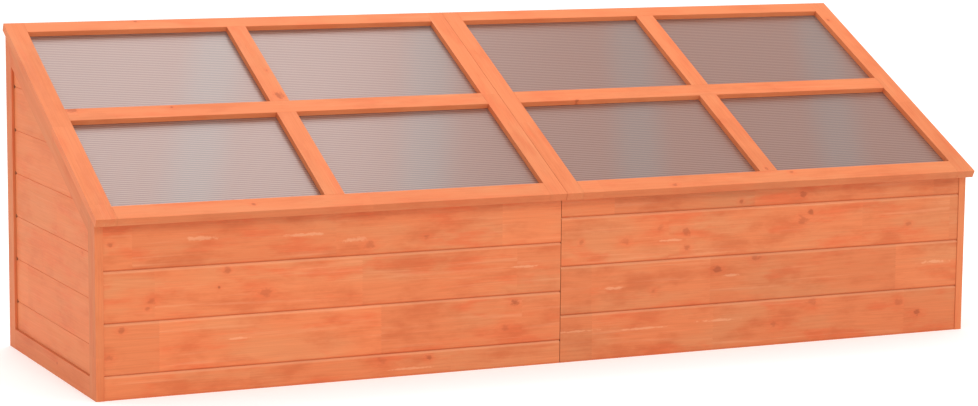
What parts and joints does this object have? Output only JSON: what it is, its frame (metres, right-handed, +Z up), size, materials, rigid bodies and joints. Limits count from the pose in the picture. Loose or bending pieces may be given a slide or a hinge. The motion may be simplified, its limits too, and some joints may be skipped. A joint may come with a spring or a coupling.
{
  "type": "cold frame",
  "caption": "Low wooden growing box with an open bottom and a sloping roof of hinged, glazed lids that are held open by folding wooden props.",
  "frame": {"origin": "on the ground under the middle of the box, at the centre of the bounding box's bottom face", "axes": "+X along the length of the box, to the right seen from the front; +Y from the low front wall to the high back wall; +Z up"},
  "size_m": [1.8, 0.5832, 0.6157],
  "materials": {
    "stained_fir_lid": "satin orange-brown stain over knotty fir",
    "stained_fir_batten": "satin orange-brown stain over knotty fir",
    "stained_fir_board": "satin orange-brown stain over knotty fir",
    "inner_fir": "thin matt stain over sawn fir",
    "twin_wall_sheet": "translucent twin-wall polycarbonate, fluted along the length of the frame",
    "zinc_steel": "zinc plated"
  },
  "bodies": {
    "body": {"left_side_front_post": "stained_fir_batten", "left_side_rear_post": "stained_fir_batten", "left_side_bottom_rail": "stained_fir_batten", "left_side_top_rail": "stained_fir_batten", "left_side_boards": "stained_fir_board", "right_side_front_post": "stained_fir_batten", "right_side_rear_post": "stained_fir_batten", "right_side_bottom_rail": "stained_fir_batten", "right_side_top_rail": "stained_fir_batten", "right_side_boards": "stained_fir_board", "front_left_board_1": "stained_fir_board", "front_left_board_2": "stained_fir_board", "front_left_board_3": "stained_fir_board", "front_left_board_4": "stained_fir_board", "front_right_board_1": "stained_fir_board", "front_right_board_2": "stained_fir_board", "front_right_board_3": "stained_fir_board", "front_right_board_4": "stained_fir_board", "back_left_boards": "stained_fir_board", "back_right_boards": "stained_fir_board", "back_rail": "inner_fir", "front_left_corner_batten": "inner_fir", "back_left_corner_batten": "inner_fir", "front_right_corner_batten": "inner_fir", "back_right_corner_batten": "inner_fir", "front_centre_post": "inner_fir", "back_centre_post": "inner_fir", "centre_rafter": "inner_fir", "hinge_1_fixed_leaf": "zinc_steel", "hinge_2_fixed_leaf": "zinc_steel", "hinge_3_fixed_leaf": "zinc_steel", "hinge_4_fixed_leaf": "zinc_steel"},
    "left_lid": {"left_lid_outer_stile": "stained_fir_lid", "left_lid_inner_stile": "stained_fir_lid", "left_lid_bottom_rail": "stained_fir_lid", "left_lid_top_rail": "stained_fir_lid", "left_lid_middle_rail": "stained_fir_lid", "left_lid_glazing_bar": "stained_fir_lid", "left_lid_pane_1": "twin_wall_sheet", "left_lid_pane_2": "twin_wall_sheet", "left_lid_pane_3": "twin_wall_sheet", "left_lid_pane_4": "twin_wall_sheet", "left_prop_bracket": "zinc_steel", "hinge_1_lid_leaf": "zinc_steel", "hinge_2_lid_leaf": "zinc_steel"},
    "right_lid": {"right_lid_outer_stile": "stained_fir_lid", "right_lid_inner_stile": "stained_fir_lid", "right_lid_bottom_rail": "stained_fir_lid", "right_lid_top_rail": "stained_fir_lid", "right_lid_middle_rail": "stained_fir_lid", "right_lid_glazing_bar": "stained_fir_lid", "right_lid_pane_1": "twin_wall_sheet", "right_lid_pane_2": "twin_wall_sheet", "right_lid_pane_3": "twin_wall_sheet", "right_lid_pane_4": "twin_wall_sheet", "right_prop_bracket": "zinc_steel", "hinge_3_lid_leaf": "zinc_steel", "hinge_4_lid_leaf": "zinc_steel"},
    "left_prop": {"left_prop": "inner_fir"},
    "right_prop": {"right_prop": "inner_fir"}
  },
  "joints": [
    {"name": "left_lid_hinge", "type": "hinge", "parent": "body", "child": "left_lid", "pos_m": [-0.45, 0.28865, 0.59714], "axis": [-1, 0, 0], "range_deg": [0, 160]},
    {"name": "right_lid_hinge", "type": "hinge", "parent": "body", "child": "right_lid", "pos_m": [0.45, 0.28865, 0.59714], "axis": [-1, 0, 0], "range_deg": [0, 160]},
    {"name": "left_prop_pivot", "type": "hinge", "parent": "left_lid", "child": "left_prop", "pos_m": [-0.44815, -0.21479, 0.33636], "axis": [-1, 0, 0], "range_deg": [0, 90]},
    {"name": "right_prop_pivot", "type": "hinge", "parent": "right_lid", "child": "right_prop", "pos_m": [0.44815, -0.21479, 0.33636], "axis": [-1, 0, 0], "range_deg": [0, 90]}
  ]
}
